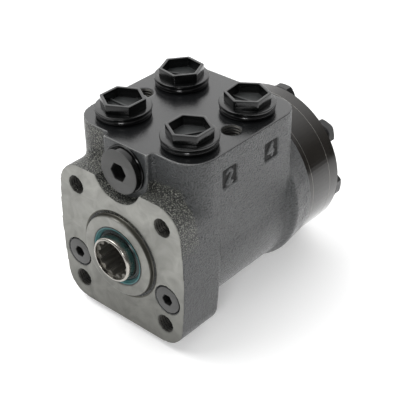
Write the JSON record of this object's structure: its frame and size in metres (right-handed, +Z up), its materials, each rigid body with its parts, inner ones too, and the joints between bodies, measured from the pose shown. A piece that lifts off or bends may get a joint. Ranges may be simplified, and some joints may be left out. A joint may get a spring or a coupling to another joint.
{
  "type": "orbital steering unit",
  "caption": "Black cast hydraulic steering unit: square mounting flange with splined input, port block on top with plastic transport plugs, round bolted gear set behind.",
  "frame": {"origin": "on the shaft axis, in the machined front face that bolts to the steering column", "axes": "+Y along the shaft from the column to the end cover, +Z up out of the port face, +X to the right seen from the column"},
  "size_m": [0.0896, 0.1408, 0.1142],
  "materials": {
    "black_paint": "semi-gloss black paint on cast iron",
    "cover_paint": "gloss black paint on turned steel",
    "turned_steel": "fine turned",
    "ground_steel": "ground and lapped",
    "bearing_steel": "polished",
    "spring_steel": "blued, oiled",
    "zinc_steel": "grey phosphated",
    "plug_plastic": "moulded, semi-gloss",
    "black_rubber": "smooth moulded",
    "seal_rubber": "teal nitrile"
  },
  "bodies": {
    "casing": {"housing": "black_paint", "dust_seal": "seal_rubber", "shaft_seal": "black_rubber", "bearing_outer_race": "bearing_steel", "distributor_plate": "cover_paint", "gear_ring": "cover_paint", "end_cover": "cover_paint", "cover_bolts": "spring_steel", "bolt_washers": "zinc_steel", "plate_seal": "black_rubber", "ring_seal": "black_rubber", "cover_seal": "black_rubber", "check_bush": "turned_steel", "relief_seat": "turned_steel", "relief_adjuster": "turned_steel", "relief_plug": "zinc_steel", "relief_plug_seal": "zinc_steel", "relief_spring": "spring_steel", "shock_plug_left": "zinc_steel", "shock_plug_right": "zinc_steel", "shock_spring_left": "spring_steel", "shock_spring_right": "spring_steel", "suction_pin_left": "spring_steel", "suction_pin_right": "spring_steel"},
    "sleeve": {"control_sleeve": "ground_steel", "cross_pin": "ground_steel", "bearing_inner_race": "bearing_steel", "centering_springs": "spring_steel"},
    "bearing_cage": {"needle_cage": "bearing_steel", "needle_rollers": "bearing_steel"},
    "spool": {"control_spool": "turned_steel"},
    "orbit": {"spacer_disc": "turned_steel"},
    "rotor": {"gear_rotor": "ground_steel"},
    "cardan": {"drive_shaft": "turned_steel"},
    "check_ball": {"check_ball": "bearing_steel"},
    "relief_poppet": {"relief_poppet": "ground_steel"},
    "shock_ball_left": {"shock_ball_left": "bearing_steel"},
    "shock_ball_right": {"shock_ball_right": "bearing_steel"},
    "suction_ball_left": {"suction_ball_left": "bearing_steel"},
    "suction_ball_right": {"suction_ball_right": "bearing_steel"},
    "plug_1": {"transport_plug_1": "plug_plastic", "port_seal_1": "black_rubber"},
    "plug_2": {"transport_plug_2": "plug_plastic", "port_seal_2": "black_rubber"},
    "plug_3": {"transport_plug_3": "plug_plastic", "port_seal_3": "black_rubber"},
    "plug_4": {"transport_plug_4": "plug_plastic", "port_seal_4": "black_rubber"}
  },
  "joints": [
    {"name": "sleeve_turn", "type": "hinge", "parent": "casing", "child": "sleeve", "pos_m": [0, 0.036, 0], "axis": [0, 1, 0], "continuous": true},
    {"name": "cage_turn", "type": "hinge", "parent": "casing", "child": "bearing_cage", "pos_m": [0, 0.01102, 0], "axis": [0, 1, 0], "continuous": true},
    {"name": "spool_turn", "type": "hinge", "parent": "sleeve", "child": "spool", "pos_m": [0, 0.036, 0], "axis": [0, 1, 0], "range_deg": [-8, 8], "stiffness_Nm_per_rad": 6, "deforming": ["centering_springs"]},
    {"name": "rotor_orbit", "type": "hinge", "parent": "casing", "child": "orbit", "pos_m": [0, 0.1115, 0], "axis": [0, 1, 0], "continuous": true},
    {"name": "rotor_spin", "type": "hinge", "parent": "orbit", "child": "rotor", "pos_m": [0, 0.1115, 0.0025], "axis": [0, 1, 0], "continuous": true},
    {"name": "cardan_spin", "type": "hinge", "parent": "orbit", "child": "cardan", "pos_m": [0, 0.036, 0], "axis": [0, 0.9995, 0.0331], "continuous": true},
    {"name": "check_lift", "type": "slide", "parent": "casing", "child": "check_ball", "axis": [0, 0, 1], "range_m": [0, 0.00075]},
    {"name": "relief_lift", "type": "slide", "parent": "casing", "child": "relief_poppet", "axis": [0, -1, 0], "range_m": [0, 0.0015], "stiffness_N_per_m": 30000, "deforming": ["relief_spring"]},
    {"name": "shock_lift_left", "type": "slide", "parent": "casing", "child": "shock_ball_left", "axis": [0, -1, 0], "range_m": [0, 0.0015], "stiffness_N_per_m": 8000, "deforming": ["shock_spring_left"]},
    {"name": "shock_lift_right", "type": "slide", "parent": "casing", "child": "shock_ball_right", "axis": [0, -1, 0], "range_m": [0, 0.0015], "stiffness_N_per_m": 8000, "deforming": ["shock_spring_right"]},
    {"name": "suction_lift_left", "type": "slide", "parent": "casing", "child": "suction_ball_left", "axis": [0, 1, 0], "range_m": [0, 0.0012]},
    {"name": "suction_lift_right", "type": "slide", "parent": "casing", "child": "suction_ball_right", "axis": [0, 1, 0], "range_m": [0, 0.0012]},
    {"name": "plug_1_lift", "type": "slide", "parent": "casing", "child": "plug_1", "axis": [0, 0, 1], "range_m": [0, 0.02]},
    {"name": "plug_2_lift", "type": "slide", "parent": "casing", "child": "plug_2", "axis": [0, 0, 1], "range_m": [0, 0.02]},
    {"name": "plug_3_lift", "type": "slide", "parent": "casing", "child": "plug_3", "axis": [0, 0, 1], "range_m": [0, 0.02]},
    {"name": "plug_4_lift", "type": "slide", "parent": "casing", "child": "plug_4", "axis": [0, 0, 1], "range_m": [0, 0.02]}
  ],
  "couplings": [
    {"joint": "cage_turn", "follows": "sleeve_turn", "ratio": 0.5},
    {"joint": "rotor_orbit", "follows": "sleeve_turn", "ratio": -6},
    {"joint": "rotor_spin", "follows": "sleeve_turn", "ratio": 7},
    {"joint": "cardan_spin", "follows": "sleeve_turn", "ratio": 7}
  ]
}
